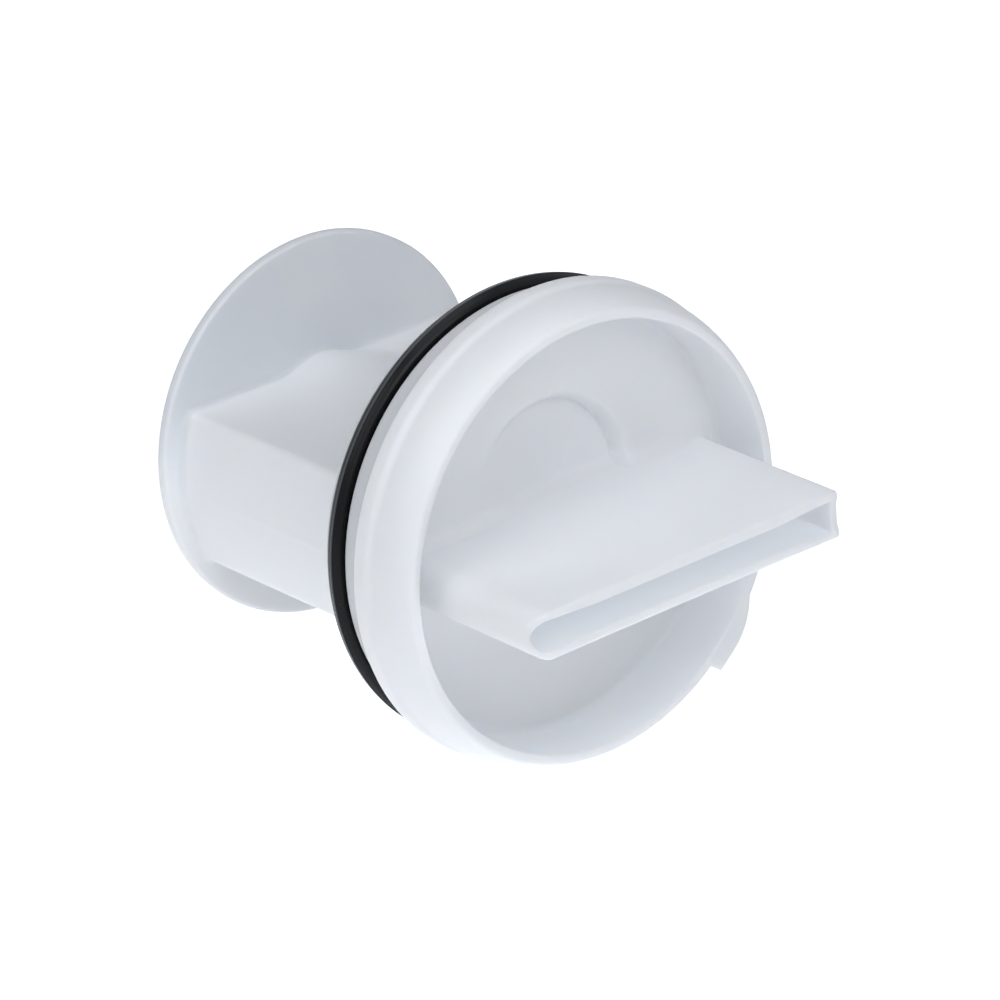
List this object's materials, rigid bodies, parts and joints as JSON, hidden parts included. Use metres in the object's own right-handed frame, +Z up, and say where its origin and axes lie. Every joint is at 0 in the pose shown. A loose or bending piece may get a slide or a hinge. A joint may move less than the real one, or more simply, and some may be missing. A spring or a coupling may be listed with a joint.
{
  "type": "washer pump filter",
  "caption": "Round filter plug for a washer's drain pump: cup-shaped cap with a finger handle, a rubber sealing ring and an open trough that ends in a flat disc.",
  "frame": {"origin": "on the axis, in the rear face of the collar, which stops against the pump housing", "axes": "+Y along the axis into the housing, towards the rear disc; -Y towards the handle; +Z up, square to the flat handle; +X to the right, seen from the handle's side"},
  "size_m": [0.064, 0.0754, 0.064],
  "materials": {
    "polypropylene": "moulded natural polypropylene, satin and slightly translucent",
    "rubber": "moulded nitrile rubber, satin black"
  },
  "bodies": {
    "root": {"filter_body": "polypropylene", "sealing_ring": "rubber"}
  },
  "joints": []
}
